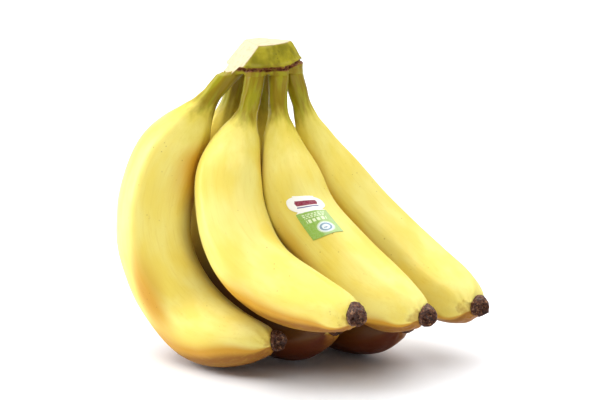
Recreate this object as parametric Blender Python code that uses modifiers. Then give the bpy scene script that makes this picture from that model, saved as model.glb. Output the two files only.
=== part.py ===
"""A bunch of six bananas on one cut crown, resting on three of its bellies.

Blender 4.5, metres, +Z up. X runs along the crown, from the left finger to the right one, and the tips
point towards -Y. The origin is on the surface that the bunch rests on, under the middle of its box.
All sizes below are in millimetres.
"""

import math

import bmesh
import bpy
import numpy as np
from mathutils import Matrix, Vector

MM = 0.001

# The crown: the cushion that all the stalks grow from, cut off the plant with a knife.
CROWN_WIDTH = 42.0
CROWN_DEPTH = 28.0
CROWN_HEIGHT = 17.0
CROWN_NARROWING = 0.55  # width at that height over the width of the rim, before the knife cuts
CROWN_YAW = 12.0  # degrees: its right end lies further back than its left one
CROWN_OFFSET = (1.0, 2.5)  # middle of the rim, from the middle of the roots
CROWN_BEVEL = 0.8
CROWN_SIDES = 28
KNIFE_CUTS = [  # the direction that each cut faces, and how far it is from the middle of the rim
    ((-0.03, -0.10, 1.00), 11.6),  # the top
    ((-0.68, -0.36, 0.64), 11.6),  # slanting, over the left stalk
    ((0.35, 0.62, 0.70), 14.2),  # slanting, behind on the right
]

# The fingers
ROOT_RISE = 3.0  # each middle line starts this far inside the crown
STALK_RADIUS = 4.6
STALK_FLARE = 1.5  # the stalk is this much thicker in radius where it leaves the crown
FLARE_FADE = 7.0
SHOULDER_FULLNESS = 0.7  # below 1 the shoulder widens early
BLEND = 1.2  # rounds the corner between the shoulder's curve and the taper's
TIP_RADIUS = 5.2  # of the yellow skin, where the dried blossom end starts
RIDGES = 5
RIDGE_RISE = 0.028  # height of the five ridges over the body's radius
SKIN_GAP = 0.35  # between two fingers that press on each other
SEAT_GAP = 0.3  # between a stalk and the crown, and between a skin and its blossom end
BELLY_PRESS = 0.9  # how far the lowest skin is pressed flat by the surface under it

# The dried blossom end on each tip
BLOSSOM_RADIUS = 5.4
BLOSSOM_FACE = 4.7  # radius of its blunt end
BLOSSOM_LENGTH = 3.8
BLOSSOM_SIDES = 16

# The paper sticker on the middle right finger: a rounded head over a narrower square tag
STICKER_LENGTH = 26.0
STICKER_HEAD_WIDTH = 20.0
STICKER_HEAD_LENGTH = 9.5
STICKER_HEAD_SQUARENESS = 2.6  # 2 is an oval, more is squarer
STICKER_NECK = 0.55  # narrowest width of the head's two ends over its full width
STICKER_TAG_WIDTH = 16.0
STICKER_THICKNESS = 0.3
STICKER_GAP = 0.3
STICKER_PLACE = 86.0  # along the finger, from the root to the sticker's middle
STICKER_TURN = 146.5  # degrees round the finger
STICKER_SLANT = 26.0  # degrees that the sticker is turned from straight along the finger
STICKER_SKEW = 0.38  # its tag leans sideways by this share of the way down
STICKER_ROWS = 14
STICKER_COLUMNS = 8

# Mesh
AROUND = 22
ALONG = 32
PATH_POINTS = 96
PRESS_ROUNDS = 14  # halvings in the search for a pressed radius

# Each finger: its length along the middle from crown to blossom end, its radius, how far the stalk runs
# before it widens, how long the shoulder and the taper are, how blunt the tip is, and how the ridges are
# turned. Its seat is the root's place on the crown's underside, in halves of the crown's width and depth.
# Then come the points that its middle line passes through, measured from the middle of that underside:
# down the stalk, round the back and along the belly to the tip.
FINGERS = {
    "left": dict(
        length=206.6, radius=19.6, stalk=25.0, shoulder=40.0, taper=60.0, bluntness=0.75, roll=20.0,
        seat=(-0.43, -0.14),
        path=[
            (-26, -4, -17),
            (-49.5, -6, -57),
            (-51.0, -11, -96.5),
            (-31.8, -22.5, -124.4),
            (-10.5, -46, -127.5),
            (11, -57.5, -125.2),
        ],
    ),
    "middle_left": dict(
        length=182.0, radius=18.6, stalk=25.0, shoulder=36.0, taper=90.0, bluntness=0.6, roll=10.0,
        seat=(-0.1, -0.43),
        path=[(-5, -9, -18), (-15, -18, -53), (-7, -38, -87), (15, -60, -100.5), (47, -96, -103)],
    ),
    "middle_right": dict(
        length=173.0, radius=18.0, stalk=25.0, shoulder=44.0, taper=50.0, bluntness=0.7, roll=5.0,
        seat=(0.43, -0.21),
        path=[
            (9, -5, -19),
            (16, -14, -63),
            (36, -28, -89),
            (56, -48.5, -103.4),
            (68, -63.5, -106.3),
            (80.5, -75, -108.2),
        ],
    ),
    "right": dict(
        length=176.0, radius=17.3, stalk=25.0, shoulder=54.0, taper=34.0, bluntness=0.65, roll=0.0,
        seat=(0.71, 0.14),
        path=[(20.5, 5, -21), (39.5, 7, -63), (68, -1, -93), (90, -18, -110), (109, -42, -114)],
    ),
    "back_left": dict(
        length=216.0, radius=17.5, stalk=25.0, shoulder=38.0, taper=42.0, bluntness=0.7, roll=0.0,
        seat=(-0.43, 0.71),
        path=[
            (-17, 14, -27),
            (-27, 20, -67),
            (-26, 18, -107),
            (-7, -1, -126.3),
            (19, -29, -126.6),
            (38, -50, -119),
        ],
    ),
    "back_right": dict(
        length=209.0, radius=17.5, stalk=25.0, shoulder=38.0, taper=42.0, bluntness=0.7, roll=0.0,
        seat=(0.05, 0.86),
        path=[
            (1, 18, -26),
            (1, 24, -68),
            (15, 22, -109),
            (32, 6, -126.3),
            (53, -20, -126.8),
            (73, -40, -120.5),
        ],
    ),
}
STICKER_FINGER = "middle_right"

COLOURS = {
    "banana_peel": ((0.80, 0.58, 0.09), 0.45),
    "crown_rind": ((0.62, 0.55, 0.16), 0.6),
    "dried_blossom": ((0.035, 0.018, 0.012), 0.85),
    "sticker_paper": ((0.72, 0.82, 0.55), 0.35),
}


def clear_scene():
    for obj in list(bpy.data.objects):
        bpy.data.objects.remove(obj)


def plain_material(name):
    colour, roughness = COLOURS[name]
    material = bpy.data.materials.new(name)
    material.use_nodes = True
    shader = material.node_tree.nodes["Principled BSDF"]
    shader.inputs["Base Color"].default_value = (*colour, 1.0)
    shader.inputs["Roughness"].default_value = roughness
    shader.inputs["Metallic"].default_value = 0.0
    return material


def add_object(name, mesh, collection, parent, material):
    obj = bpy.data.objects.new(name, mesh)
    collection.objects.link(obj)
    obj.parent = parent
    mesh.materials.append(material)
    mesh.shade_smooth()
    mesh.set_sharp_from_angle(angle=math.radians(40))
    return obj


def smooth_path(points, count):
    """A natural cubic spline through the points, resampled evenly along its length."""
    knots = np.array(points, float)
    steps = np.sqrt(np.linalg.norm(np.diff(knots, axis=0), axis=1))
    last = len(knots) - 1
    system = np.eye(last + 1)
    bends = np.zeros((last + 1, 3))
    for i in range(1, last):
        before, after = steps[i - 1], steps[i]
        system[i, i - 1 : i + 2] = before, 2 * (before + after), after
        bends[i] = 6 * ((knots[i + 1] - knots[i]) / after - (knots[i] - knots[i - 1]) / before)
    bends = np.linalg.solve(system, bends)
    ends = np.concatenate([[0.0], np.cumsum(steps)])
    at = np.linspace(0.0, ends[-1], count * 4)
    span = np.clip(np.searchsorted(ends, at, side="right") - 1, 0, last - 1)
    step = steps[span][:, None]
    near = (ends[span + 1] - at)[:, None] / step
    far = 1 - near
    curve = near * knots[span] + far * knots[span + 1]
    curve += ((near**3 - near) * bends[span] + (far**3 - far) * bends[span + 1]) * step**2 / 6
    run = np.concatenate([[0.0], np.cumsum(np.linalg.norm(np.diff(curve, axis=0), axis=1))])
    even = np.linspace(0.0, run[-1], count)
    return np.stack([np.interp(even, run, curve[:, axis]) for axis in range(3)], axis=1), run[-1]


def finger_line(finger):
    """The finger's middle line, from inside the crown to the end of its blossom end."""
    across, deep = finger["seat"]
    root = (across * CROWN_WIDTH / 2, deep * CROWN_DEPTH / 2, ROOT_RISE)
    line, measured = smooth_path([root, *finger["path"]], PATH_POINTS)
    return line[0] + (line - line[0]) * finger["length"] / measured


def skin_radius(finger, along):
    """The finger's radius at a distance from the root: stalk, shoulder, body and taper to the tip."""
    body = finger["length"] - BLOSSOM_LENGTH
    grown = np.clip((along - finger["stalk"]) / finger["shoulder"], 0, 1)
    grown = (grown**2 * (3 - 2 * grown)) ** SHOULDER_FULLNESS
    widening = STALK_RADIUS + (finger["radius"] - STALK_RADIUS) * grown
    left = np.clip((body - along) / finger["taper"], 0, 1)
    fullness = np.sin(left * np.pi / 2) ** finger["bluntness"]
    narrowing = TIP_RADIUS + (finger["radius"] - TIP_RADIUS) * fullness
    radius = -BLEND * np.log(np.exp(-widening / BLEND) + np.exp(-narrowing / BLEND))
    return radius + STALK_FLARE * np.exp(-along / FLARE_FADE)


class Finger:
    """A finger's middle line with its radius, and the directions across it at each point."""

    def __init__(self, finger):
        self.size = finger
        self.line = finger_line(finger)
        self.along = np.linspace(0.0, finger["length"], PATH_POINTS)
        self.radius = skin_radius(finger, self.along)
        ahead = np.gradient(self.line, axis=0)
        self.ahead = ahead / np.linalg.norm(ahead, axis=1)[:, None]
        chord = self.line[-1] - self.line[0]
        bulge = self.line[PATH_POINTS // 2] - (self.line[0] + self.line[-1]) / 2
        side = np.cross(bulge, chord)
        side = side - self.ahead * (self.ahead @ side)[:, None]
        self.side = side / np.linalg.norm(side, axis=1)[:, None]
        self.back = np.cross(self.ahead, self.side)

    def at(self, along, values):
        return np.stack([np.interp(along, self.along, values[:, axis]) for axis in range(3)], axis=1)

    def outward(self, along, angle):
        back, side = self.at(along, self.back), self.at(along, self.side)
        return back * np.cos(angle)[:, None] + side * np.sin(angle)[:, None]

    def skin(self, along, angle):
        """Radius of the ridged skin: round in the stalk, and five-sided in the body."""
        radius = np.interp(along, self.along, self.radius)
        fullness = np.clip((radius - TIP_RADIUS) / (self.size["radius"] - TIP_RADIUS), 0, 1)
        turn = angle - math.radians(self.size["roll"])
        return radius * (1 + RIDGE_RISE * fullness * np.cos(RIDGES * turn))

    def clearance(self, points):
        """How far each point is outside this finger's skin, measured from its ridges."""
        apart = np.linalg.norm(points[:, None] - self.line[None], axis=2)
        return (apart - self.radius[None] * (1 + RIDGE_RISE)).min(axis=1)


def pressed(centres, outward, radius, others):
    """The radius left where neighbours press on a finger: each gives way by half of what they share."""
    low, high = np.zeros_like(radius), np.ones_like(radius)
    for _ in range(PRESS_ROUNDS):
        share = (low + high) / 2
        points = centres + outward * (radius * share)[:, None]
        room = np.min([other.clearance(points) for other in others], axis=0)
        fits = room >= SKIN_GAP - (1 - share) * radius
        low, high = np.where(fits, share, low), np.where(fits, high, share)
    points = centres + outward * radius[:, None]
    room = np.min([other.clearance(points) for other in others], axis=0)
    return np.where(room >= SKIN_GAP, radius, radius * low)


def cut_flat(bm, point, normal):
    """Cuts off what is beyond a plane and closes the cut."""
    everything = [*bm.verts, *bm.edges, *bm.faces]
    bmesh.ops.bisect_plane(bm, geom=everything, plane_co=point, plane_no=normal, clear_outer=True)
    bmesh.ops.edgeloop_fill(bm, edges=[edge for edge in bm.edges if edge.is_boundary])


def finger_mesh(name, fingers):
    """A sphere drawn out along the finger's middle line, pressed by its neighbours, cut at the crown."""
    finger = fingers[name]
    body = finger.size["length"] - BLOSSOM_LENGTH - SEAT_GAP
    bm = bmesh.new()
    bmesh.ops.create_uvsphere(bm, u_segments=AROUND, v_segments=ALONG, radius=1)
    ball = np.array([v.co for v in bm.verts])
    ring = np.rint(np.arccos(np.clip(ball[:, 2], -1, 1)) / np.pi * ALONG)
    pole = (ring == 0) | (ring == ALONG)
    along = np.clip((ring - 1) / (ALONG - 2), 0, 1) * body
    angle = np.arctan2(ball[:, 1], ball[:, 0])
    centres = finger.at(along, finger.line)
    outward = finger.outward(along, angle)
    others = [other for key, other in fingers.items() if key != name]
    radius = pressed(centres, outward, finger.skin(along, angle), others)
    points = centres + outward * np.where(pole, 0.0, radius)[:, None]
    for vertex, point in zip(bm.verts, points):
        vertex.co = point * MM
    bmesh.ops.recalc_face_normals(bm, faces=bm.faces)
    cut_flat(bm, Vector((0, 0, -SEAT_GAP * MM)), Vector((0, 0, 1)))
    bmesh.ops.recalc_face_normals(bm, faces=bm.faces)
    mesh = bpy.data.meshes.new(name)
    bm.to_mesh(mesh)
    bm.free()
    return mesh


def press_on_surface(meshes, height):
    """Flattens whatever would reach below the surface, where a belly rests on it."""
    for mesh in meshes:
        for vertex in mesh.vertices:
            vertex.co.z = max(vertex.co.z, height)


def crown_mesh():
    """An oval cushion that narrows upwards, with flat knife cuts at its top, its left end and behind."""
    bm = bmesh.new()
    lift = Matrix.Translation((0, 0, CROWN_HEIGHT / 2))
    bmesh.ops.create_cone(
        bm,
        cap_ends=True,
        segments=CROWN_SIDES,
        radius1=1,
        radius2=CROWN_NARROWING,
        depth=CROWN_HEIGHT,
        matrix=lift,
    )
    bmesh.ops.scale(bm, vec=(CROWN_WIDTH / 2, CROWN_DEPTH / 2, 1), verts=bm.verts)
    yaw = Matrix.Rotation(math.radians(CROWN_YAW), 3, "Z")
    bmesh.ops.rotate(bm, cent=(0, 0, 0), matrix=yaw, verts=bm.verts)
    for direction, reach in KNIFE_CUTS:
        normal = Vector(direction).normalized()
        cut_flat(bm, normal * reach, normal)
    bmesh.ops.translate(bm, vec=(*CROWN_OFFSET, 0), verts=bm.verts)
    edges = [edge for edge in bm.edges if edge.calc_face_angle() > math.radians(20)]
    bmesh.ops.bevel(
        bm, geom=edges, offset=CROWN_BEVEL, segments=2, profile=0.5, affect="EDGES", material=-1
    )
    bmesh.ops.scale(bm, vec=(MM, MM, MM), verts=bm.verts)
    bmesh.ops.recalc_face_normals(bm, faces=bm.faces)
    mesh = bpy.data.meshes.new("crown")
    bm.to_mesh(mesh)
    bm.free()
    return mesh


def blossom_mesh():
    """Half of the blossom end's outline, from its blunt face down its outer side to the seat."""
    outline = [
        (0.0, BLOSSOM_LENGTH),
        (BLOSSOM_FACE, BLOSSOM_LENGTH),
        (BLOSSOM_RADIUS, BLOSSOM_LENGTH * 0.75),
        (BLOSSOM_RADIUS, BLOSSOM_LENGTH * 0.35),
        (TIP_RADIUS, 0.0),
        (0.0, 0.0),
    ]
    mesh = bpy.data.meshes.new("blossom_end")
    edges = [(i, i + 1) for i in range(len(outline) - 1)]
    mesh.from_pydata([(x * MM, 0.0, z * MM) for x, z in outline], edges, [])
    return mesh


def turn_profile(obj, steps):
    """Turns the outline round its own Z axis into a closed body."""
    screw = obj.modifiers.new("Turn", "SCREW")
    screw.steps = screw.render_steps = steps
    screw.use_merge_vertices = True
    screw.merge_threshold = 0.00001


def blossom_place(finger):
    """Where a blossom end sits: on the end of the skin, facing along the finger."""
    start = finger.size["length"] - BLOSSOM_LENGTH
    point = finger.at(np.array([start]), finger.line)[0]
    ahead = Vector(finger.ahead[-1])
    return Vector(point * MM), ahead.to_track_quat("Z", "Y")


def sticker_half_width(down):
    """Half the sticker's width at a distance below its top edge."""
    if down < STICKER_HEAD_LENGTH:
        from_middle = abs(down / STICKER_HEAD_LENGTH - 0.5) * 2
        roundness = max(1 - from_middle**STICKER_HEAD_SQUARENESS, STICKER_NECK**2) ** 0.5
        return STICKER_HEAD_WIDTH / 2 * roundness
    return STICKER_TAG_WIDTH / 2


def sticker_mesh(finger):
    """A sheet laid on the skin: rows down the finger, each as wide as the sticker is there."""
    bm = bmesh.new()
    bmesh.ops.create_grid(bm, x_segments=STICKER_COLUMNS, y_segments=STICKER_ROWS, size=1)
    grid = np.array([v.co for v in bm.verts])
    down = (1 - grid[:, 1]) / 2 * STICKER_LENGTH
    below = down - STICKER_LENGTH / 2
    wide = grid[:, 0] * np.array([sticker_half_width(d) for d in down]) + below * STICKER_SKEW
    slant = math.radians(STICKER_SLANT)
    across = wide * math.cos(slant) - below * math.sin(slant)
    along = STICKER_PLACE + wide * math.sin(slant) + below * math.cos(slant)
    angle = math.radians(STICKER_TURN) + across / np.interp(along, finger.along, finger.radius)
    radius = finger.skin(along, angle) + STICKER_GAP
    points = finger.at(along, finger.line) + finger.outward(along, angle) * radius[:, None]
    for vertex, point in zip(bm.verts, points):
        vertex.co = point * MM
    centre = Vector(finger.at(along, finger.line).mean(axis=0) * MM)
    bm.normal_update()
    if sum((f.calc_center_median() - centre).dot(f.normal) for f in bm.faces) < 0:
        bmesh.ops.reverse_faces(bm, faces=bm.faces)
    mesh = bpy.data.meshes.new("sticker")
    bm.to_mesh(mesh)
    bm.free()
    return mesh


def bounds_of(meshes):
    points = np.concatenate([np.array([v.co for v in mesh.vertices]) for mesh in meshes])
    return points.min(axis=0), points.max(axis=0)


def main():
    clear_scene()
    collection = bpy.data.collections.new("banana_bunch")
    bpy.context.scene.collection.children.link(collection)
    materials = {name: plain_material(name) for name in COLOURS}

    fingers = {name: Finger(size) for name, size in FINGERS.items()}
    bananas = {name: finger_mesh(name, fingers) for name in fingers}
    crown = crown_mesh()
    surface = bounds_of(bananas.values())[0][2] + BELLY_PRESS * MM
    press_on_surface(bananas.values(), surface)

    bunch = bpy.data.objects.new("bunch", None)
    collection.objects.link(bunch)
    add_object("crown", crown, collection, bunch, materials["crown_rind"])
    for name, mesh in bananas.items():
        add_object(f"banana_{name}", mesh, collection, bunch, materials["banana_peel"])
    tips = []
    for name, finger in fingers.items():
        dried = materials["dried_blossom"]
        tip = add_object(f"blossom_end_{name}", blossom_mesh(), collection, bunch, dried)
        turn_profile(tip, BLOSSOM_SIDES)
        tip.location, rotation = blossom_place(finger)
        tip.rotation_euler = rotation.to_euler()
        tips.append(tip)
    sheet = sticker_mesh(fingers[STICKER_FINGER])
    sticker = add_object("sticker", sheet, collection, bunch, materials["sticker_paper"])
    paper = sticker.modifiers.new("Paper", "SOLIDIFY")
    paper.thickness = STICKER_THICKNESS * MM
    paper.offset = 1

    bpy.context.view_layer.update()
    graph = bpy.context.evaluated_depsgraph_get()
    ends = [Vector(corner) for corner in bounds_of([crown, *bananas.values()])]
    for tip in tips:
        shown = tip.evaluated_get(graph)
        ends += [shown.matrix_world @ Vector(corner) for corner in shown.bound_box]
    low = Vector(min(point[axis] for point in ends) for axis in range(3))
    high = Vector(max(point[axis] for point in ends) for axis in range(3))
    bunch.location = (-(low.x + high.x) / 2, -(low.y + high.y) / 2, -surface)
    bpy.context.view_layer.update()


main()
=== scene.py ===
import math

import bmesh
import bpy
import numpy as np
from mathutils import Matrix, Vector, noise
from mathutils.bvhtree import BVHTree


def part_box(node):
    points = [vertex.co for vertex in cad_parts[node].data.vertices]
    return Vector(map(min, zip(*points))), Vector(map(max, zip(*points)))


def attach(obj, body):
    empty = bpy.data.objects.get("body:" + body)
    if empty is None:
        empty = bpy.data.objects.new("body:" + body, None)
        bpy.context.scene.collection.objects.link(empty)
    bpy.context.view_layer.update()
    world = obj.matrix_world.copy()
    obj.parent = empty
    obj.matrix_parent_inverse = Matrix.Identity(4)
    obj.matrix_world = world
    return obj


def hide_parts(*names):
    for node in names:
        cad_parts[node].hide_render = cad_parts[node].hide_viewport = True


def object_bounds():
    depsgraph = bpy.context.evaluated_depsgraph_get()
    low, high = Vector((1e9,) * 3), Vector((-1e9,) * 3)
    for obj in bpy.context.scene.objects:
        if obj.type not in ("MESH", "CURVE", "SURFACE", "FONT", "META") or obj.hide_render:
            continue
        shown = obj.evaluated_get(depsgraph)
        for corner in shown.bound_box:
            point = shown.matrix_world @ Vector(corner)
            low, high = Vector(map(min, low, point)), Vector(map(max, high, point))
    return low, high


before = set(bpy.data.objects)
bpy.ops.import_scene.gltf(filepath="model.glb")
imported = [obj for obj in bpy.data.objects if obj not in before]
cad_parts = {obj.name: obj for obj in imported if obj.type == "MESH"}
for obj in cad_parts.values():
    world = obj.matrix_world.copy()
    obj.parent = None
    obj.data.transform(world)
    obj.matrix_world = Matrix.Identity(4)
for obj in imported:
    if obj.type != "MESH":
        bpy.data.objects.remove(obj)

cadLow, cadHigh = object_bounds()
mm = 0.001
fingerNames = ["left", "middle_left", "middle_right", "right", "back_left", "back_right"]


def linear(hexColour):  # sRGB hex to Blender's linear colour
    channels = [int(hexColour[i : i + 2], 16) / 255 for i in (1, 3, 5)]
    return (*[c / 12.92 if c <= 0.04045 else ((c + 0.055) / 1.055) ** 2.4 for c in channels], 1.0)


def smoothStep(low, high, values):
    t = np.clip((values - low) / (high - low), 0, 1)
    return t * t * (3 - 2 * t)


def unit(vectors):
    return vectors / np.linalg.norm(vectors, axis=-1, keepdims=True)


def meshPoints(mesh):
    points = np.empty(len(mesh.vertices) * 3)
    mesh.vertices.foreach_get("co", points)
    return points.reshape(-1, 3)


def setPoints(mesh, points):
    mesh.vertices.foreach_set("co", points.reshape(-1))
    mesh.update()


def setAttribute(mesh, name, kind, values):
    key = {"FLOAT": "value", "FLOAT_VECTOR": "vector", "FLOAT_COLOR": "color"}[kind]
    attribute = mesh.attributes.new(name, kind, "POINT")
    attribute.data.foreach_set(key, np.asarray(values, np.float32).reshape(-1))


def noiseAt(points, scale, seed=0.0):  # scale is the bump's width in metres, values about -1..1
    shift = Vector((seed, seed * 1.7, -seed))
    return np.array([noise.noise(Vector(p) / scale + shift) for p in points]) * 2


def newObject(name, mesh, material):
    obj = bpy.data.objects.new(name, mesh)
    bpy.context.scene.collection.objects.link(obj)
    mesh.materials.clear()
    mesh.materials.append(material)
    mesh.shade_smooth()
    return obj


def applied(obj):  # the object's mesh with its modifiers in it
    graph = bpy.context.evaluated_depsgraph_get()
    mesh = bpy.data.meshes.new_from_object(obj.evaluated_get(graph))
    obj.modifiers.clear()
    obj.data = mesh
    return mesh


def meshFrom(bm, name):
    mesh = bpy.data.meshes.new(name)
    bm.to_mesh(mesh)
    bm.free()
    return mesh


def weldedCopy(node):
    bm = bmesh.new()
    bm.from_mesh(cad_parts[node].data)
    bmesh.ops.remove_doubles(bm, verts=bm.verts, dist=0.01 * mm)
    return bm


def nodeCentre(node):
    low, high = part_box(node)
    return (low + high) / 2


def newMaterial(name, roughness, ior=1.45):
    material = bpy.data.materials.new(name)
    material.use_nodes = True
    tree = material.node_tree
    tree.nodes.clear()
    output = tree.nodes.new("ShaderNodeOutputMaterial")
    shader = tree.nodes.new("ShaderNodeBsdfPrincipled")
    shader.inputs["Roughness"].default_value = roughness
    shader.inputs["IOR"].default_value = ior
    tree.links.new(shader.outputs[0], output.inputs[0])
    return material, tree, shader


def add(tree, kind, settings=None, links=None):  # a node with its settings and what feeds it
    node = tree.nodes.new(kind)
    for key, value in (settings or {}).items():
        if isinstance(key, int) or key in node.inputs:
            node.inputs[key].default_value = value
        else:
            setattr(node, key, value)
    for key, socket in (links or {}).items():
        tree.links.new(socket, node.inputs[key])
    return node


def mixColour(tree, amount, first, second, blend="MIX"):  # amount and colours are sockets or values
    node = add(tree, "ShaderNodeMix", {"data_type": "RGBA", "blend_type": blend})
    for place, value in ((0, amount), (6, first), (7, second)):
        if isinstance(value, bpy.types.NodeSocket):
            tree.links.new(value, node.inputs[place])
        elif isinstance(value, str):
            node.inputs[place].default_value = linear(value)
        else:
            node.inputs[place].default_value = value
    return node.outputs[2]


def ramp(tree, value, low, high, toLow=0.0, toHigh=1.0):
    settings = {"interpolation_type": "SMOOTHSTEP", "From Min": low, "From Max": high}
    settings.update({"To Min": toLow, "To Max": toHigh})
    return add(tree, "ShaderNodeMapRange", settings, {"Value": value}).outputs[0]


def combine(tree, operation, first, second):
    node = add(tree, "ShaderNodeMath", {"operation": operation}, {0: first})
    if isinstance(second, bpy.types.NodeSocket):
        tree.links.new(second, node.inputs[1])
    else:
        node.inputs[1].default_value = second
    return node.outputs[0]


def attributeOf(tree, name, output="Fac"):
    return add(tree, "ShaderNodeAttribute", {"attribute_name": name}).outputs[output]


def noiseSocket(tree, vector, width, stretch=1.0, detail=3.0, roughness=0.5, seed=0.0):
    # width is a blotch's size across the finger in millimetres, stretch how much longer it is along it
    across, lengthwise = 1 / (width * mm), 1 / (width * mm * stretch)
    settings = {"Location": (seed, seed, seed), "Scale": (across, across, lengthwise)}
    mapping = add(tree, "ShaderNodeMapping", settings, {"Vector": vector})
    settings = {"Scale": 1.0, "Detail": detail, "Roughness": roughness}
    return add(tree, "ShaderNodeTexNoise", settings, {"Vector": mapping.outputs[0]}).outputs[0]


peel = {
    "sunny": "#ecdf80",
    "deep": "#e9d462",
    "ridge": "#d2b03a",
    "belly": "#c8901e",  # painted shade: gold on the down-facing, low skin
    "under": "#824c10",  # painted shade: darker brown, lower still
    "pressed": "#521b02",  # painted shade: nearly black-brown on the back fingers' low skin that faces forward
    "freckle": "#8a5f1d",
    "scuff": "#b98f3a",
    "neck": "#d8c543",
    "stalk": "#8c7508",
    "stalkGreen": "#9a9212",
    "tipRing": "#a8741c",  # round the blossom end
    "stalkEnds": (17.0, 33.0),  # mm from the crown over which the stalk's olive fades
    "neckEnds": (24.0, 52.0),
    "tongueReach": 30.0,
    "tipRingEnds": (0.3, 2.6),  # mm from the tip
    "tipWobble": 6.0,
    "freckleSpacing": 3.4,
    "roughness": 0.40,
    "roughest": 0.52,
    "specular": 0.32,
    "depth": 1.8,  # mm that light goes into the skin
}


def ripeBananaPeel():  # ripe peel grown under a waxy bloom: soft broad sheen, faint streaks, few freckles
    material, tree, shader = newMaterial("ripeBananaPeelWaxy", peel["roughness"], 1.42)
    flow = attributeOf(tree, "flow", "Vector")
    along, left, ridge = (attributeOf(tree, name) for name in ("along", "left", "ridge"))
    place = add(tree, "ShaderNodeTexCoord").outputs["Object"]

    blotches = noiseSocket(tree, flow, 14, 2.5)
    colour = mixColour(tree, ramp(tree, blotches, 0.35, 0.65), peel["sunny"], peel["deep"])
    # painted shade: the down-facing skin and the skin low over the surface go gold, then brown
    down = attributeOf(tree, "paintedShadeBelow")
    colour = mixColour(tree, ramp(tree, down, 0.22, 0.66, 0, 0.95), colour, peel["belly"])
    colour = mixColour(tree, ramp(tree, down, 0.7, 1.25, 0, 0.85), colour, peel["under"])
    streaks = noiseSocket(tree, flow, 1.1, 16, 4, 0.6, 3.0)
    colour = mixColour(tree, ramp(tree, streaks, 0.5, 0.72, 0, 0.16), colour, peel["ridge"])
    colour = mixColour(tree, combine(tree, "MULTIPLY", ridge, 0.10), colour, peel["ridge"])

    scuffs = ramp(tree, noiseSocket(tree, flow, 2.4, 3.0, 5, 0.65, 8.0), 0.67, 0.79, 0, 0.5)
    colour = mixColour(tree, scuffs, colour, peel["scuff"])
    settings = {"Scale": 1 / (peel["freckleSpacing"] * mm), "Randomness": 1.0}
    cells = add(tree, "ShaderNodeTexVoronoi", settings, {"Vector": place}).outputs["Distance"]
    cluster = ramp(tree, noiseSocket(tree, place, 17, 1.0, 2, 0.5, 5.0), 0.5, 0.66)
    dots = combine(tree, "MULTIPLY", ramp(tree, cells, 0.05, 0.14, 0.55, 0), cluster)
    colour = mixColour(tree, dots, colour, peel["freckle"])

    wander = combine(tree, "SUBTRACT", noiseSocket(tree, flow, 7, 3.0, 3, 0.6, 11.0), 0.5)
    reach = combine(tree, "MULTIPLY", wander, peel["tongueReach"] * mm)
    tongues = combine(tree, "ADD", reach, along)  # the green runs down in tongues
    neckStart, neckEnd = (end * mm for end in peel["neckEnds"])
    neck = ramp(tree, tongues, neckStart, neckEnd, 0.75, 0)
    colour = mixColour(tree, neck, colour, peel["neck"])
    greener = ramp(tree, noiseSocket(tree, flow, 3.2, 6, 3, 0.5, 14.0), 0.4, 0.64)
    stalkColour = mixColour(tree, greener, peel["stalk"], peel["stalkGreen"])
    stalkStart, stalkEnd = (end * mm for end in peel["stalkEnds"])
    stalk = ramp(tree, tongues, stalkStart, stalkEnd, 1, 0)
    colour = mixColour(tree, stalk, colour, stalkColour)
    uneven = combine(tree, "SUBTRACT", noiseSocket(tree, place, 3, 1, 3), 0.5)
    wobble = combine(tree, "MULTIPLY", uneven, peel["tipWobble"] * mm)
    ringStart, ringEnd = (end * mm for end in peel["tipRingEnds"])
    tipRing = ramp(tree, combine(tree, "ADD", wobble, left), ringStart, ringEnd, 0.6, 0)
    colour = mixColour(tree, tipRing, colour, peel["tipRing"])
    # painted shade: the back fingers' low, forward-facing skin goes nearly black-brown
    colour = mixColour(tree, attributeOf(tree, "pressed"), colour, peel["pressed"])
    tree.links.new(colour, shader.inputs["Base Color"])

    waxy = noiseSocket(tree, flow, 3.5, 3, 4, 0.6, 2.0)
    sheen = ramp(tree, waxy, 0.3, 0.7, peel["roughness"] - 0.05, peel["roughest"])
    tree.links.new(sheen, shader.inputs["Roughness"])
    settings = {"Strength": 0.22, "Distance": 0.12 * mm}
    grain = add(tree, "ShaderNodeBump", settings, {"Height": noiseSocket(tree, flow, 0.7, 5)})
    settings = {"Strength": 0.28, "Distance": 0.4 * mm}
    height = noiseSocket(tree, flow, 1.8, 12, 3, 0.55, 6.0)
    fibres = add(tree, "ShaderNodeBump", settings, {"Height": height, "Normal": grain.outputs[0]})
    tree.links.new(fibres.outputs[0], shader.inputs["Normal"])
    shader.inputs["Subsurface Weight"].default_value = 0.1
    shader.inputs["Specular IOR Level"].default_value = peel["specular"]
    shader.inputs["Subsurface Radius"].default_value = (1.0, 0.8, 0.3)
    shader.inputs["Subsurface Scale"].default_value = peel["depth"] * mm
    return material


crownLook = {
    "rind": "#857c08",
    "rindLight": "#a89c1c",
    "rindBrown": "#80641a",
    "cut": "#d2c3a0",
    "cutFibre": "#bda87a",
    "cutEdge": "#8f7a35",
    "scar": "#642e0c",
    "scarLight": "#a36c38",
    "speck": "#4b3a12",  # dark corky dots on the rind
    "speckSpacing": 1.9,
    "poreSpacing": 0.9,
    "specular": 0.28,
}


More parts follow.
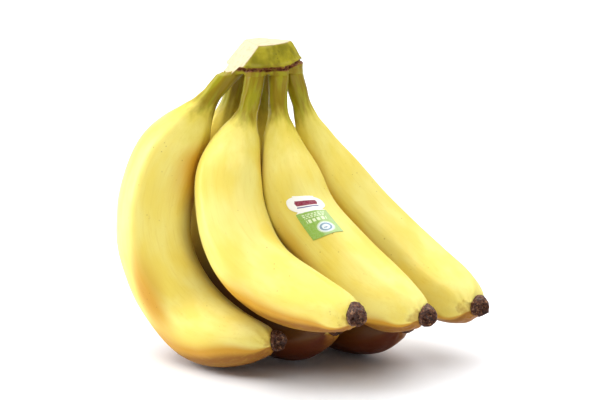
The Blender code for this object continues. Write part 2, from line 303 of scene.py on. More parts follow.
def cutCrownRind():  # fibrous green rind, knife-cut cream pith, and the torn brown scar under the rim
    material, tree, shader = newMaterial("cutCrownRindAndPith", 0.55)
    place = add(tree, "ShaderNodeTexCoord").outputs["Object"]
    cut, edge, scar, above = (attributeOf(tree, name) for name in ("cut", "cutEdge", "scar", "above"))

    patches = ramp(tree, noiseSocket(tree, place, 5, 2.0), 0.36, 0.64)
    colour = mixColour(tree, patches, crownLook["rind"], crownLook["rindLight"])
    brown = ramp(tree, noiseSocket(tree, place, 3.2, 1.5, 4, 0.6, 4.0), 0.5, 0.72, 0, 0.6)
    lowBand = ramp(tree, above, 1 * mm, 5 * mm, 0.75, 0.1)  # the rind browns towards the rim
    browned = combine(tree, "MULTIPLY", brown, lowBand)
    colour = mixColour(tree, browned, colour, crownLook["rindBrown"])
    greener = ramp(tree, noiseSocket(tree, place, 3.2, 2, 3, 0.5, 14.0), 0.4, 0.64)
    stalks = mixColour(tree, greener, peel["stalk"], peel["stalkGreen"])
    colour = mixColour(tree, ramp(tree, above, -1.2 * mm, -0.2 * mm, 1, 0), colour, stalks)
    settings = {"Scale": 1 / (crownLook["speckSpacing"] * mm), "Randomness": 1.0}
    specks = add(tree, "ShaderNodeTexVoronoi", settings, {"Vector": place}).outputs["Distance"]
    speckled = ramp(tree, noiseSocket(tree, place, 6, 1, 2, 0.5, 21.0), 0.52, 0.62)
    speck = combine(tree, "MULTIPLY", ramp(tree, specks, 0.08, 0.2, 0.8, 0), speckled)
    colour = mixColour(tree, speck, colour, crownLook["speck"])

    fibre = ramp(tree, noiseSocket(tree, place, 2.2, 1, 4, 0.6, 9.0), 0.45, 0.75, 0, 0.7)
    pith = mixColour(tree, fibre, crownLook["cut"], crownLook["cutFibre"])
    settings = {"Scale": 1 / (crownLook["poreSpacing"] * mm)}
    pores = add(tree, "ShaderNodeTexVoronoi", settings, {"Vector": place}).outputs["Distance"]
    pith = mixColour(tree, ramp(tree, pores, 0.06, 0.26, 0.35, 0), pith, crownLook["cutFibre"])
    colour = mixColour(tree, cut, colour, pith)
    dashed = ramp(tree, noiseSocket(tree, place, 2.6, 1, 3, 0.6, 17.0), 0.4, 0.6, 0.15, 0.9)
    colour = mixColour(tree, combine(tree, "MULTIPLY", edge, dashed), colour, crownLook["cutEdge"])
    tornNoise = ramp(tree, noiseSocket(tree, place, 1.4, 1, 4, 0.7, 7.0), 0.48, 0.7)
    torn = mixColour(tree, tornNoise, crownLook["scar"], crownLook["scarLight"])
    colour = mixColour(tree, scar, colour, torn)
    tree.links.new(colour, shader.inputs["Base Color"])
    settings = {"Strength": 0.45, "Distance": 0.35 * mm}
    rough = add(tree, "ShaderNodeBump", settings, {"Height": noiseSocket(tree, place, 0.9, 1.5, 4, 0.6)})
    tree.links.new(rough.outputs[0], shader.inputs["Normal"])
    dryness = ramp(tree, noiseSocket(tree, place, 2.5, 1, 3), 0.3, 0.7, 0.42, 0.66)
    tree.links.new(dryness, shader.inputs["Roughness"])
    shader.inputs["Specular IOR Level"].default_value = crownLook["specular"]
    shader.inputs["Subsurface Weight"].default_value = 0.1
    shader.inputs["Subsurface Radius"].default_value = (1.0, 0.7, 0.25)
    shader.inputs["Subsurface Scale"].default_value = 1.2 * mm
    return material


blossomLook = {
    "dark": "#2c1206",
    "brown": "#552a12",
    "fleck": "#a07450",
}


def driedBlossom():  # shrivelled flower remains: nearly black, crumbly, lighter dry flecks on the edges
    material, tree, shader = newMaterial("driedBlossomEnd", 0.7)
    place = add(tree, "ShaderNodeTexCoord").outputs["Object"]
    crumbs = noiseSocket(tree, place, 1.1, 1, 5, 0.7)
    colour = mixColour(tree, ramp(tree, crumbs, 0.4, 0.6), blossomLook["dark"], blossomLook["brown"])
    flecks = ramp(tree, noiseSocket(tree, place, 0.9, 1, 4, 0.65, 5.0), 0.48, 0.64)
    flecks = combine(tree, "MULTIPLY", flecks, attributeOf(tree, "raised"))
    colour = mixColour(tree, flecks, colour, blossomLook["fleck"])
    tree.links.new(colour, shader.inputs["Base Color"])
    bump = add(tree, "ShaderNodeBump", {"Strength": 0.7, "Distance": 0.4 * mm}, {"Height": crumbs})
    tree.links.new(bump.outputs[0], shader.inputs["Normal"])
    gloss = ramp(tree, noiseSocket(tree, place, 1.6, 1, 3, 0.5, 2.0), 0.35, 0.65, 0.42, 0.85)
    tree.links.new(gloss, shader.inputs["Roughness"])
    return material


def printedPaper():  # thin coated paper, printed in flat inks: an even satin with a faint mottle
    material, tree, shader = newMaterial("printedStickerPaper", 0.35)
    place = add(tree, "ShaderNodeTexCoord").outputs["Object"]
    mottle = ramp(tree, noiseSocket(tree, place, 0.8, 1, 3), 0.3, 0.7, 0, 0.08)
    colour = mixColour(tree, mottle, attributeOf(tree, "inks", "Color"), "#ffffff")
    tree.links.new(colour, shader.inputs["Base Color"])
    satin = ramp(tree, noiseSocket(tree, place, 2.5, 1, 2, 0.5, 3.0), 0.3, 0.7, 0.3, 0.42)
    tree.links.new(satin, shader.inputs["Roughness"])
    settings = {"Strength": 0.12, "Distance": 0.15 * mm}
    bump = add(tree, "ShaderNodeBump", settings, {"Height": noiseSocket(tree, place, 3, 1, 2)})
    tree.links.new(bump.outputs[0], shader.inputs["Normal"])
    return material


peelMaterial = ripeBananaPeel()
crownMaterial = cutCrownRind()
blossomMaterial = driedBlossom()
stickerMaterial = printedPaper()
print("materials ready")


banana = {
    "ridges": 5,
    "ridgeRise": 0.50,  # mm that each ridge stands above the faces between
    "ridgeSharpness": 4,
    "dent": 0.20,
    "dentWidth": 17.0,
    "thinEnds": (22.0, 52.0),  # mm from the crown over which the stalk's look fades
    "rib": 0.10,
    "ribs": 9,
    "stalkLump": 0.25,
    "pucker": 0.30,  # of the folds that run into the tip
    "puckerLength": 10.0,
    "lip": 2.1,  # mm that the skin reaches forward round the blossom end
    "intoCrown": 2.6,  # mm that a stalk goes on inside the crown
    "tuck": 1.7,  # mm that it is drawn in there, under the crown's own skin
    "paintedShadeHeights": (25.0, 75.0),  # mm over the surface between which the painted shade on the bellies fades
    # mm over the surface between which the back fingers' painted shade fades
    "pressedSkin": (30.0, 70.0),
    "nearTip": 14.0,  # mm from the blossom end within which the tip's pole lies
    "linePoints": 220,
    "levels": 3,  # of rounding
}
crownLow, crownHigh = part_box("crown")


def knifeCuts():  # the flat cut faces of the CAD crown, as (normal, distance)
    areas = {}
    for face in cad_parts["crown"].data.polygons:
        key = tuple(round(c, 2) for c in face.normal)
        area, distance = areas.get(key, (0.0, 0.0))
        areas[key] = (area + face.area, distance + face.area * face.normal.dot(face.center))
    facingUp = {key: value for key, value in areas.items() if key[2] > 0.3}
    largest = sorted(facingUp, key=lambda key: -facingUp[key][0])[:3]
    return [(unit(np.array(key)), facingUp[key][1] / facingUp[key][0]) for key in largest]


cuts = knifeCuts()


def underKnives(points):  # how deep each point lies under the nearest knife cut
    return np.min([distance - points @ normal for normal, distance in cuts], axis=0)


def trimByKnives(points, depth):  # what stands less deep than this is moved straight in
    for normal, distance in cuts:
        over = np.maximum(depth - (distance - points @ normal), 0)
        points -= over[:, None] * normal
    return points


def ringsFromTip(bm, tipCentre, top):  # groups the vertices by their steps from the pole at the tip
    nearby = [v for v in bm.verts if (v.co - tipCentre).length < banana["nearTip"] * mm]
    pole = max(nearby, key=lambda v: len(v.link_edges))
    steps, reached = {pole: 0}, [pole]
    while reached:
        following = []
        for vertex in reached:
            for edge in vertex.link_edges:
                other = edge.other_vert(vertex)
                if other not in steps:
                    steps[other] = steps[vertex] + 1
                    following.append(other)
        reached = following
    rings = [[] for _ in range(max(steps.values()) + 1)]
    for vertex, step in steps.items():
        rings[step].append(vertex)
    whole = len(rings[3])
    highest = top - 1.0 * mm
    rings = [ring for ring in rings[1:] if len(ring) == whole and max(v.co.z for v in ring) < highest]
    return pole, rings


def findMiddleLine(bm, tipCentre):  # the finger's middle from the crown to the tip, evenly spaced
    top = max(v.co.z for v in bm.verts)
    pole, rings = ringsFromTip(bm, tipCentre, top)
    start = np.mean([v.co for v in bm.verts if v.co.z > top - 0.01 * mm], axis=0)
    ringMiddles = [np.mean([v.co for v in ring], axis=0) for ring in reversed(rings)]
    middles = np.array([start, *ringMiddles, pole.co])
    middles = np.delete(middles, -2, axis=0)
    run = np.concatenate([[0], np.cumsum(np.linalg.norm(np.diff(middles, axis=0), axis=1))])
    even = np.linspace(0, run[-1], banana["linePoints"])
    line = np.stack([np.interp(even, run, middles[:, axis]) for axis in range(3)], axis=1)
    window = 7
    for _ in range(3):  # rounds the corners between the rings
        padded = np.concatenate([np.repeat(line[:1], window, 0), line, np.repeat(line[-1:], window, 0)])
        padded[:window] = 2 * line[0] - line[window:0:-1]
        padded[-window:] = 2 * line[-1] - line[-2 : -window - 2 : -1]
        kernel = np.ones(2 * window + 1) / (2 * window + 1)
        line = np.stack([np.convolve(padded[:, axis], kernel, "valid") for axis in range(3)], axis=1)
    ringPoints = [np.array([v.co for v in ring]) for ring in rings]
    return line, ringPoints


class MiddleLine:  # places points round a finger by distance along it, angle and radius
    def __init__(self, line):
        self.line = line
        self.run = np.concatenate([[0], np.cumsum(np.linalg.norm(np.diff(line, axis=0), axis=1))])
        self.length = self.run[-1]
        self.ahead = unit(np.gradient(line, axis=0))
        across = np.cross(line[len(line) // 2] - (line[0] + line[-1]) / 2, line[-1] - line[0])
        self.side = unit(across - self.ahead * (self.ahead @ across)[:, None])
        self.back = np.cross(self.ahead, self.side)

    def measure(self, points):  # along, angle, radius of each point
        nearest = np.empty(len(points), int)
        for first in range(0, len(points), 4000):
            part = points[first : first + 4000]
            apart = np.linalg.norm(part[:, None] - self.line[None], axis=2)
            nearest[first : first + 4000] = apart.argmin(axis=1)
        away = points - self.line[nearest]
        ahead = np.einsum("ij,ij->i", away, self.ahead[nearest])
        along = self.run[nearest] + ahead
        sideways = np.einsum("ij,ij->i", away, self.side[nearest])
        backward = np.einsum("ij,ij->i", away, self.back[nearest])
        return along, np.arctan2(sideways, backward), np.hypot(sideways, backward)

    def at(self, along, values):
        return np.stack([np.interp(along, self.run, values[:, axis]) for axis in range(3)], axis=-1)

    def outward(self, along, angle):
        back, side = self.at(along, self.back), self.at(along, self.side)
        return back * np.cos(angle)[..., None] + side * np.sin(angle)[..., None]


def ridgeTurn(middle, ringPoints):  # the angle of the first ridge, from the rings' own five waves
    total = 0
    for points in ringPoints[4:-8]:
        _, angle, radius = middle.measure(points)
        total += np.sum((radius - radius.mean()) * np.exp(-1j * banana["ridges"] * angle))
    return -np.angle(total) / banana["ridges"]


def openAndRaiseStalk(bm, middle):  # drops the stalk's flat top and carries the stalk on into the crown
    top = max(v.co.z for v in bm.verts)
    lid = [f for f in bm.faces if all(v.co.z > top - 0.01 * mm for v in f.verts)]
    bmesh.ops.delete(bm, geom=lid, context="FACES")
    rim = [e for e in bm.edges if e.is_boundary]
    raised = bmesh.ops.extrude_edge_only(bm, edges=rim)["geom"]
    newVerts = [g for g in raised if isinstance(g, bmesh.types.BMVert)]
    into = Vector(-middle.ahead[0]) * banana["intoCrown"] * mm
    bmesh.ops.translate(bm, verts=newVerts, vec=into)
    bmesh.ops.edgeloop_fill(bm, edges=[e for e in bm.edges if e.is_boundary])


def dropDiagonals(bm):  # the longest edge of both its triangles is a diagonal of the ring pattern
    diagonals = []
    for edge in bm.edges:
        faces = edge.link_faces
        if len(faces) == 2 and all(len(f.verts) == 3 for f in faces):
            length = edge.calc_length() * 1.0001
            if all(length >= other.calc_length() for f in faces for other in f.edges):
                if max(len(v.link_edges) for v in edge.verts) < 12:
                    diagonals.append(edge)
    bmesh.ops.dissolve_edges(bm, edges=diagonals, use_verts=False)


def skinShape(points, along, angle, turn, radius, toTip, seed):  # how far the skin stands out
    fullness = smoothStep(6 * mm, 14 * mm, radius)
    wander = 0.25 * noiseAt(points, 45 * mm, seed + 2)
    ridge = ((1 + np.cos(banana["ridges"] * turn + wander)) / 2) ** banana["ridgeSharpness"]
    push = banana["ridgeRise"] * fullness * (ridge - 0.3)
    push += banana["dent"] * fullness * noiseAt(points, banana["dentWidth"] * mm, seed)
    thinStart, thinEnd = (end * mm for end in banana["thinEnds"])
    thin = 1 - smoothStep(thinStart, thinEnd, along)
    ribs = banana["ribs"] * angle + 1.5 * noiseAt(points, 12 * mm, seed + 5)
    push += banana["rib"] * thin * np.cos(ribs)
    push += banana["stalkLump"] * thin * noiseAt(points, 7 * mm, seed + 8)
    puckered = 1 - smoothStep(0.5 * mm, banana["puckerLength"] * mm, toTip)
    puckered *= smoothStep(2 * mm, 5 * mm, radius)
    folds = 2 * banana["ridges"] * turn + 1.2 * noiseAt(points, 5 * mm, seed)
    push += banana["pucker"] * puckered * np.cos(folds)
    return push * mm, ridge * fullness, thin


def buildBanana(name):
    node, tipNode = f"banana_{name}", f"blossom_end_{name}"
    bm = weldedCopy(node)
    line, ringPoints = findMiddleLine(bm, nodeCentre(tipNode))
    middle = MiddleLine(line)
    firstRidge = ridgeTurn(middle, ringPoints)
    dropDiagonals(bm)
    openAndRaiseStalk(bm, middle)
    bmesh.ops.recalc_face_normals(bm, faces=bm.faces)
    obj = newObject(f"visual_banana_{name}", meshFrom(bm, node), peelMaterial)
    rounder = obj.modifiers.new("Rounder", "SUBSURF")
    rounder.levels = rounder.render_levels = banana["levels"]
    mesh = applied(obj)
    mesh.shade_smooth()

    points = meshPoints(mesh)
    along, angle, radius = middle.measure(points)
    along = np.clip(along, 0, middle.length)
    seed = 3.1 * fingerNames.index(name)
    outward = middle.outward(along, angle)
    toTip = middle.length - along
    push, ridge, thin = skinShape(points, along, angle, angle - firstRidge, radius, toTip, seed)
    sleeve = points + outward * push[:, None]  # the skin as the crown's sleeves carry it on
    lip = smoothStep(3.9 * mm, 5.0 * mm, radius) * (1 - smoothStep(0.4 * mm, 2.4 * mm, toTip))
    lip *= banana["lip"] * mm * (0.75 + 0.5 * noiseAt(points, 3.5 * mm, seed + 11))
    points += middle.at(along, middle.ahead) * lip[:, None]
    below = crownLow.z - points[:, 2]
    push -= banana["tuck"] * mm * (1 - smoothStep(2.0 * mm, 4.6 * mm, below))
    points += outward * push[:, None]
    nearCrown = below < 2 * mm
    points[nearCrown] = trimByKnives(points[nearCrown], 0.5 * mm)
    points[:, 2] = np.maximum(points[:, 2], cadLow.z)
    setPoints(mesh, points)

    flow = np.stack([radius * np.cos(angle), radius * np.sin(angle), along + seed], axis=1)
    setAttribute(mesh, "flow", "FLOAT_VECTOR", flow)
    setAttribute(mesh, "along", "FLOAT", along)
    setAttribute(mesh, "left", "FLOAT", toTip)
    setAttribute(mesh, "ridge", "FLOAT", ridge)
    # painted shade mask: skin that faces down or lies low over the surface, not on the stalk
    shadeLowStart, shadeLowEnd = (end * mm for end in banana["paintedShadeHeights"])
    low = 0.3 * (1 - smoothStep(shadeLowStart, shadeLowEnd, points[:, 2]))
    down = np.clip(0.3 - outward[:, 2] * 1.15 + low, 0, 1.4) * (1 - thin)
    down *= smoothStep(-1.05, -0.5, outward[:, 0])  # painted shade is kept off the skin that faces left, so it stays pale as if lit from there
    setAttribute(mesh, "paintedShadeBelow", "FLOAT", down)
    # painted shade mask: the back fingers' forward-facing skin low over the surface
    backShadeStart, backShadeEnd = (end * mm for end in banana["pressedSkin"])
    pressed = smoothStep(-0.4, 0.2, -outward[:, 1]) * (1 - smoothStep(backShadeStart, backShadeEnd, points[:, 2]))
    setAttribute(mesh, "pressed", "FLOAT", 0.95 * pressed * name.startswith("back"))
    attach(obj, "root")
    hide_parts(node)
    print(node, "length", round(middle.length / mm, 1), "mm,", len(mesh.polygons), "faces")
    return obj, middle, (sleeve, outward)


bananas = {name: buildBanana(name) for name in fingerNames}
print("bananas ready")


crown = {
    "voxel": 0.40,  # mm of the grid that fuses the crown, sleeves and webs into one skin
    "sleeveDepth": 8.0,  # mm that the crown's skin runs down over each stalk
    "sleeveProud": 0.40,
    "sleeveSunk": 0.55,
    "webDepth": 3.4,  # mm that the flesh between the stalks hangs down
    "webRadius": 4.3,
    "webs": [("left", "middle_left"), ("middle_left", "middle_right"), ("middle_right", "right")]
    + [("right", "back_right"), ("back_right", "back_left"), ("back_left", "left")],
    "smoothing": 6,
    "grooveHeight": 1.8,  # mm of the torn scar under the rim
    "grooveDepth": 1.15,
    "rimLift": 2.6,  # mm that the rim's lower edge rises at its right end
    "rimWaver": 0.25,
    "rimOverhang": 0.35,
    "lump": 0.45,
    "lumpWidth": 6.5,
}


def addSleeve(bm, name):  # the top of a stalk, proud at the crown and sinking into the skin below
    obj, _, (points, outward) = bananas[name]
    below = crownLow.z - points[:, 2]
    share = np.clip(below / (crown["sleeveDepth"] * mm), 0, 1)
    offset = crown["sleeveProud"] * (1 - share) - crown["sleeveSunk"] * share
    placed = points + outward * (offset * mm)[:, None]
    made = {}
    for face in obj.data.polygons:
        if all(below[v] < crown["sleeveDepth"] * mm for v in face.vertices):
            for v in face.vertices:
                if v not in made:
                    made[v] = bm.verts.new(placed[v])
            bm.faces.new([made[v] for v in face.vertices])
    rim = {e for v in made.values() for e in v.link_edges if e.is_boundary}
    bmesh.ops.holes_fill(bm, edges=list(rim), sides=0)


def addWeb(bm, first, second):  # the flesh between two neighbouring stalks, just under the crown
    corners = []
    for name in (first, second):
        middle = bananas[name][1]
        for depth, radius in ((-1.0, 1.0), (crown["webDepth"], 0.75)):
            at = Vector(middle.line[0]) + Vector(middle.ahead[6]) * depth * mm
            ring = bmesh.ops.create_circle(
                bm,
                segments=20,
                radius=crown["webRadius"] * radius * mm,
                matrix=Matrix.Translation(at),
            )["verts"]
            corners += ring
    hull = bmesh.ops.convex_hull(bm, input=corners)
    inside = [g for g in hull["geom_interior"] if isinstance(g, bmesh.types.BMVert)]
    bmesh.ops.delete(bm, geom=inside, context="VERTS")


def buildCrown():
    bm = weldedCopy("crown")
    for name in fingerNames:
        addSleeve(bm, name)
    for pair in crown["webs"]:
        addWeb(bm, *pair)
    bmesh.ops.recalc_face_normals(bm, faces=bm.faces)
    obj = newObject("visual_crown", meshFrom(bm, "crown"), crownMaterial)
    fuse = obj.modifiers.new("Fuse", "REMESH")
    fuse.mode = "VOXEL"
    fuse.voxel_size = crown["voxel"] * mm
    soften = obj.modifiers.new("Soften", "SMOOTH")
    soften.factor = 0.5
    soften.iterations = crown["smoothing"]
    mesh = applied(obj)
    mesh.shade_smooth()

    points = meshPoints(mesh)
    centre = np.array((crownLow + crownHigh) / 2)
    away = points - centre
    away[:, 2] = 0
    away = unit(away + 1e-9)
    fine = noiseAt(points, 1.5 * mm, 7.0)
    tall = points * np.array([1, 1, 0.35])
    lumps = noiseAt(tall, crown["lumpWidth"] * mm, 2.0)
    right = points[:, 0] - centre[0]
    lift = crown["rimLift"] * mm * smoothStep(9 * mm, 19 * mm, right)
    waver = crown["rimWaver"] * mm * noiseAt(points, 4 * mm, 4.0)
    above = points[:, 2] - crownLow.z - lift - waver  # over the rim's lower edge
    grooveHeight = crown["grooveHeight"] * mm
    groove = smoothStep(-grooveHeight, -0.75 * grooveHeight, above)
    groove *= 1 - smoothStep(-0.15 * mm, 0.25 * mm, above)
    fromMiddle = np.linalg.norm((points - centre)[:, :2], axis=1)
    onRim = smoothStep(-0.1 * mm, 0.8 * mm, above)
    torn = crown["grooveDepth"] * groove * (0.75 + 0.5 * fine)
    push = crown["lump"] * lumps * onRim - torn + 0.07 * fine
    push += crown["rimOverhang"] * onRim * (1 - smoothStep(0.5 * mm, 2.5 * mm, above))
    push *= smoothStep(3 * mm, 6 * mm, fromMiddle)
    push *= smoothStep(0.2 * mm, 1.4 * mm, underKnives(points))  # the knife cuts stay flat
    points += away * (push * mm)[:, None]
    points = trimByKnives(points, 0.06 * mm * (1 + fine))
    setPoints(mesh, points)
    depth = underKnives(points)
    onCut = (1 - smoothStep(0.18 * mm, 0.42 * mm, depth)) * smoothStep(-2.2 * mm, -1.2 * mm, above)
    onEdge = smoothStep(0.14 * mm, 0.3 * mm, depth) * (1 - smoothStep(0.3 * mm, 0.7 * mm, depth))
    band = smoothStep(-1.35 * grooveHeight, -0.9 * grooveHeight, above)
    band *= (1 - smoothStep(-0.1 * mm, 0.35 * mm, above)) * (1 - onCut)
    setAttribute(mesh, "cut", "FLOAT", onCut)
    setAttribute(mesh, "cutEdge", "FLOAT", onEdge)
    setAttribute(mesh, "scar", "FLOAT", np.clip(band * (1.05 + 0.5 * fine), 0, 1))
    setAttribute(mesh, "above", "FLOAT", above)
    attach(obj, "root")
    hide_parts("crown")
    print("crown ready,", len(mesh.polygons), "faces")


buildCrown()


blossom = {
    "around": 64,
    "outline": [(0.96, 0.02), (1.0, 0.3), (1.0, 0.5), (0.95, 0.68)]  # shares of its radius and its length
    + [(0.84, 0.74), (0.64, 0.62), (0.36, 0.5), (0.14, 0.54)],
    "inset": 0.7,  # mm that it is thinner than the plain one, so that the skin wraps round it
    "skirt": 1.6,  # mm that it goes on inside the skin
    "lobes": 6,
    "lobeDepth": 0.4,
    "crumble": 0.26,
    "crumbleWidth": 1.7,
    "fineWidth": 0.6,
    "nubs": 12,
    "nubSize": 0.62,
}


def buildBlossom(name, index):
    node = f"blossom_end_{name}"
    ahead = Vector(bananas[name][1].ahead[-1])
    cad = np.array([v.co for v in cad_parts[node].data.vertices])
    reach = cad @ np.array(ahead)
    centre = Vector(cad.mean(axis=0))
    start = centre + ahead * (reach.min() - centre.dot(ahead))
    length = reach.max() - reach.min()
    axis = np.array(ahead)
    spokes = cad - np.array(start)
    sideways = spokes - np.outer(spokes @ axis, axis)
    radius = np.linalg.norm(sideways, axis=1).max() - blossom["inset"] * mm

    bm = bmesh.new()
    outline = [(0.9, -blossom["skirt"] * mm / length), *blossom["outline"]]
    corners = [bm.verts.new((share * radius, 0, rise * length)) for share, rise in outline]
    edges = [bm.edges.new(pair) for pair in zip(corners, corners[1:])]
    bmesh.ops.subdivide_edges(bm, edges=edges, cuts=3)
    bmesh.ops.spin(
        bm,
        geom=[*bm.verts, *bm.edges],
        axis=(0, 0, 1),
        cent=(0, 0, 0),
        angle=math.tau,
        steps=blossom["around"],
        use_merge=True,
    )
    bmesh.ops.remove_doubles(bm, verts=bm.verts, dist=0.001 * mm)
    bmesh.ops.holes_fill(bm, edges=[e for e in bm.edges if e.is_boundary], sides=0)
    random = np.random.default_rng(40 + index)
    for _ in range(blossom["nubs"]):  # stumps of the flower in the cup
        turn, out = random.uniform(0, math.tau), radius * 0.74 * math.sqrt(random.uniform(0.02, 1))
        size = blossom["nubSize"] * mm * random.uniform(0.6, 1.3)
        rise = length * random.uniform(0.44, 0.56)
        place = Matrix.Translation((out * math.cos(turn), out * math.sin(turn), rise))
        lean = Matrix.Rotation(random.uniform(-0.6, 0.6), 4, "X") @ Matrix.Rotation(turn, 4, "Z")
        stretch = Matrix.Diagonal((1.0, random.uniform(0.5, 0.9), random.uniform(1.0, 1.7), 1.0))
        bmesh.ops.create_icosphere(bm, subdivisions=3, radius=size, matrix=place @ lean @ stretch)
    bmesh.ops.recalc_face_normals(bm, faces=bm.faces)
    mesh = meshFrom(bm, node)
    points = meshPoints(mesh)
    angle = np.arctan2(points[:, 1], points[:, 0])
    out = np.hypot(points[:, 0], points[:, 1])
    lobes = np.cos(blossom["lobes"] * angle + index) * 0.6 + np.cos(3 * angle + 2.3 * index) * 0.4
    rim = smoothStep(0.45 * radius, 0.95 * radius, out) * smoothStep(0.2 * length, length, points[:, 2])
    points[:, 2] += blossom["lobeDepth"] * mm * (lobes - 0.6) * rim
    points[:, :2] *= (1 + 0.04 * (lobes - 0.8) * smoothStep(0, length, points[:, 2]))[:, None]
    width = blossom["crumbleWidth"] * mm
    rough = np.stack([noiseAt(points, width, 3 * index + k) for k in range(3)], axis=1)
    fineWidth = blossom["fineWidth"] * mm
    finer = np.stack([noiseAt(points, fineWidth, 5 * index + k) for k in range(3)], axis=1)
    raised = smoothStep(-0.2, 0.5, rough[:, 2] + 0.6 * finer[:, 2])
    points += (rough * 0.7 + finer * 0.3) * blossom["crumble"] * mm
    turned = np.array(Matrix.Translation(start) @ ahead.to_track_quat("Z", "Y").to_matrix().to_4x4())
    setPoints(mesh, points @ turned[:3, :3].T + turned[:3, 3])
    setAttribute(mesh, "raised", "FLOAT", raised)
    obj = newObject(f"visual_blossom_end_{name}", mesh, blossomMaterial)
    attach(obj, "root")
    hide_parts(node)


for index, name in enumerate(fingerNames):
    buildBlossom(name, index)
print("blossom ends ready")


sticker = {
    "finger": "middle_right",
    "length": 26.0,
    "headWidth": 20.0,
    "headLength": 9.5,
    "headSquareness": 2.6,
    "headNeck": 0.55,
    "tagWidth": 16.0,
    "joint": 1.4,  # mm over which the head runs into the tag
    "slant": 26.0,  # degrees, as the CAD sticker lies
    "skew": 0.38,
    "spacing": 0.20,
    "lift": 0.10,
    "thickness": 0.12,
    "white": "#fbfaf6",
    "green": "#8fb84a",
    "paleGreen": "#a6c676",
    "pale": "#e3efc6",
    "bar": "#8e1f3d",
    "line": "#4a4a86",
    "badge": "#e4edf0",
    "badgeRing": "#7f9fb4",
    "badgeRim": "#cfe0c0",
    "badgeAt": (1.6, 11.6),  # mm across and down the tag
    "badgeRadius": 4.2,
    # rows of dashes on the tag: mm down it, half height, half width, and their beat
    "dashRows": [(1.5, 0.28, 6.0, 4.1), (2.5, 0.28, 5.7, 3.3)]
    + [(3.5, 0.28, 5.2, 4.6), (5.6, 1.05, 5.0, 2.9)],
}


def halfWidthAt(down):  # of the sticker, by the distance below its top edge
    fromMiddle = min(abs(down / sticker["headLength"] - 0.5) * 2, 1)
    roundness = max(1 - fromMiddle ** sticker["headSquareness"], sticker["headNeck"] ** 2) ** 0.5
    head = sticker["headWidth"] / 2 * roundness
    share = smoothStep(-sticker["joint"], sticker["joint"] / 2, down - sticker["headLength"])
    return head * (1 - share) + sticker["tagWidth"] / 2 * share


def inkAt(x, down):  # flat printed colour at a place on the sticker, in mm
    tagTop = sticker["headLength"] - 0.2 + 0.03 * x * x / 4
    if down < tagTop:
        if abs(x) < 5.9 - 0.4 * abs(down - 4.1) and 2.7 < down < 5.5:
            return sticker["bar"]
        if abs(x) < 5.6 and 6.2 < down < 6.75:
            return sticker["line"]
        return sticker["white"]
    below = down - tagTop
    badgeX, badgeDown = sticker["badgeAt"]
    away = math.hypot(x - badgeX, (below - badgeDown) * 1.1)
    if away < sticker["badgeRadius"]:
        if away > 3.5:
            return sticker["badgeRim"]
        if 1.9 < away < 2.9 or math.hypot(x - 1.4, (below - 11.9) * 2.2) < 0.9:
            return sticker["badgeRing"]
        return sticker["badge"]
    for row, half, width, beat in sticker["dashRows"]:  # plain dashes in place of words
        if abs(below - row) < half and abs(x) < width and math.sin(beat * x + 2 * row) > -0.55:
            return sticker["pale"]
    return sticker["paleGreen"] if x > 2.5 - 0.25 * below else sticker["green"]


def buildSticker():
    obj, middle, _ = bananas[sticker["finger"]]
    cad = np.array([v.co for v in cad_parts["sticker"].data.vertices])
    along, angle, _ = middle.measure(cad)
    atAlong, atAngle = (along.min() + along.max()) / 2, np.angle(np.mean(np.exp(1j * angle)))
    corners = [v.co for v in obj.data.vertices]
    tree = BVHTree.FromPolygons(corners, [p.vertices[:] for p in obj.data.polygons])
    columns = round(sticker["headWidth"] / sticker["spacing"])
    rows = round(sticker["length"] / sticker["spacing"])
    bm = bmesh.new()
    bmesh.ops.create_grid(bm, x_segments=columns, y_segments=rows, size=1)
    flat = np.array([v.co for v in bm.verts])
    down = (1 - flat[:, 1]) / 2 * sticker["length"]
    x = flat[:, 0] * np.array([halfWidthAt(d) for d in down])
    below = down - sticker["length"] / 2
    wide = x + below * sticker["skew"]
    slant = math.radians(sticker["slant"])
    across = wide * math.cos(slant) - below * math.sin(slant)
    further = wide * math.sin(slant) + below * math.cos(slant)
    usual = np.linalg.norm(cad.mean(axis=0) - middle.at(np.array([atAlong]), middle.line)[0])
    alongs = atAlong + further * mm
    angles = atAngle + across * mm / usual
    starts, outs = middle.at(alongs, middle.line), middle.outward(alongs, angles)
    for vertex, start, out in zip(bm.verts, starts, outs):
        hit, normal, _, _ = tree.ray_cast(Vector(start), Vector(out))
        if hit is None:  # slipped between two faces
            hit, normal, _, _ = tree.find_nearest(Vector(start) + Vector(out) * usual)
        vertex.co = hit + normal * sticker["lift"] * mm
    inks = [linear(inkAt(a, b)) for a, b in zip(x, down)]
    centre = Vector(starts.mean(axis=0))
    bm.normal_update()
    if sum((f.calc_center_median() - centre).dot(f.normal) for f in bm.faces) < 0:
        bmesh.ops.reverse_faces(bm, faces=bm.faces)
    mesh = meshFrom(bm, "sticker")
    setAttribute(mesh, "inks", "FLOAT_COLOR", inks)
    sheet = newObject("visual_sticker", mesh, stickerMaterial)
    paper = sheet.modifiers.new("Paper", "SOLIDIFY")
    paper.thickness = sticker["thickness"] * mm
    paper.offset = 1
    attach(sheet, "root")
    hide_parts("sticker")
    print("sticker ready")


buildSticker()


studio = {
    "floor": "#eff1f5",
    "floorLight": "#f3f4f7",
    "halfWidth": 4.0,
    "front": -2.0,
    "back": 3.4,
    "height": 2.5,
    "sky": 0.30,
    "ceiling": {"place": (0, 0.5, 2.4), "size": (3.8, 4.4), "power": 150},
    "softbox": {"place": (-1.2, 0.3, 0.4), "size": (0.7, 0.9), "power": 14},
    "aim": (0.0, 22.95, -0.9),  # mm from the middle of the bunch
    "distance": 850.0,
    "elevation": 12.0,
    "lens": 102.0,
}


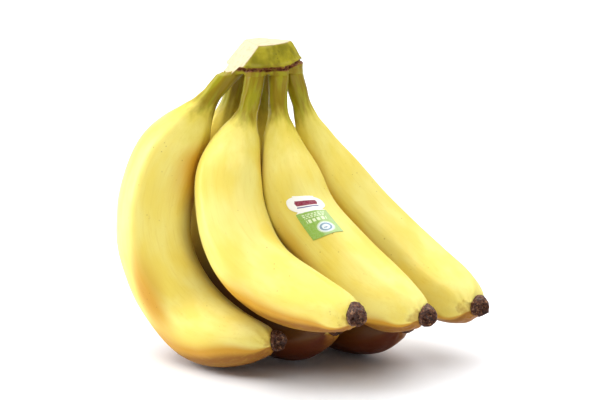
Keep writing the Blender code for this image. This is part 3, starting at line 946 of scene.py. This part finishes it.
def addLight(name, aim):
    light = studio[name]
    data = bpy.data.lights.new(name, "AREA")
    data.shape = "RECTANGLE"
    data.size, data.size_y = light["size"]
    data.energy = light["power"]
    obj = bpy.data.objects.new(name, data)
    bpy.context.scene.collection.objects.link(obj)
    obj.location = light["place"]
    away = Vector(aim) - Vector(light["place"])
    obj.rotation_euler = away.to_track_quat("-Z", "Y").to_euler()


def buildFloor():
    bm = bmesh.new()
    half, back = studio["halfWidth"], studio["back"]
    profile = [(-half, studio["front"], 0), (-half, back, 0), (-half, back + 0.6, studio["height"])]
    corners = [bm.verts.new(p) for p in profile]
    edges = [bm.edges.new(pair) for pair in zip(corners, corners[1:])]
    grown = bmesh.ops.extrude_edge_only(bm, edges=edges)["geom"]
    far = [g for g in grown if isinstance(g, bmesh.types.BMVert)]
    bmesh.ops.translate(bm, verts=far, vec=(2 * half, 0, 0))
    bmesh.ops.recalc_face_normals(bm, faces=bm.faces)
    if min(f.normal.z for f in bm.faces) < 0:
        bmesh.ops.reverse_faces(bm, faces=bm.faces)
    bend = [e for e in bm.edges if all(abs(v.co.y - back) < 0.001 for v in e.verts)]
    bmesh.ops.bevel(bm, geom=bend, offset=0.9, segments=16, profile=0.5, affect="EDGES", material=-1)
    # matt white paint, a very faint roller mottle
    material, tree, shader = newMaterial("paintedStudioSweep", 0.6)
    place = add(tree, "ShaderNodeTexCoord").outputs["Object"]
    mottle = ramp(tree, noiseSocket(tree, place, 60, 1, 3), 0.3, 0.7)
    colour = mixColour(tree, mottle, studio["floor"], studio["floorLight"])
    tree.links.new(colour, shader.inputs["Base Color"])
    obj = newObject("studio_floor", meshFrom(bm, "floor"), material)


def buildStudio():
    buildFloor()
    world = bpy.data.worlds.new("studio")
    bpy.context.scene.world = world
    world.use_nodes = True
    world.node_tree.nodes["Background"].inputs["Color"].default_value = linear("#ffffff")
    world.node_tree.nodes["Background"].inputs["Strength"].default_value = studio["sky"]
    middle = (cadLow + cadHigh) / 2
    ceilingX, ceilingY, _ = studio["ceiling"]["place"]
    addLight("ceiling", (ceilingX, ceilingY, 0))
    addLight("softbox", middle)
    camera = bpy.data.cameras.new("camera")
    camera.lens = studio["lens"]
    camera.sensor_width = 36
    camera.clip_start, camera.clip_end = 0.05, 50
    obj = bpy.data.objects.new("camera", camera)
    bpy.context.scene.collection.objects.link(obj)
    tilt = math.radians(studio["elevation"])
    back = Vector((0, -math.cos(tilt), math.sin(tilt)))
    aim = middle + Vector(studio["aim"]) * mm
    obj.location = aim + back * studio["distance"] * mm
    obj.rotation_euler = (-back).to_track_quat("-Z", "Y").to_euler()
    bpy.context.scene.camera = obj
    bpy.context.scene.view_settings.view_transform = "Standard"
    print("studio ready")


buildStudio()
